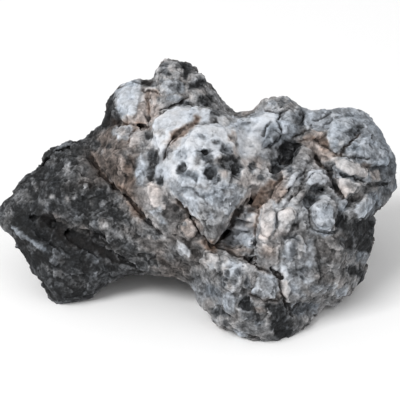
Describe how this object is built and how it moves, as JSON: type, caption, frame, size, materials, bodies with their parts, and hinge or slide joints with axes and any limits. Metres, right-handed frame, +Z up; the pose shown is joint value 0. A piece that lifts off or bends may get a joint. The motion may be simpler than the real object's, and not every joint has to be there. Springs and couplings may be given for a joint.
{
  "type": "aquascape rock",
  "caption": "Weathered grey limestone rock with jutting crags, stepped ledges, deep crevices and pits, standing on broad worn feet, for laying out in a planted tank.",
  "frame": {"origin": "on the ground, under the middle of the stone's bounding box", "axes": "+X to the right along the stone's length as the pitted white face is looked at, +Y to the back, +Z up"},
  "size_m": [0.2236, 0.1346, 0.1126],
  "materials": {
    "limestone": "matte, weathered, mottled charcoal to white with brown earth in the crevices"
  },
  "bodies": {
    "root": {"rock": "limestone"}
  },
  "joints": []
}
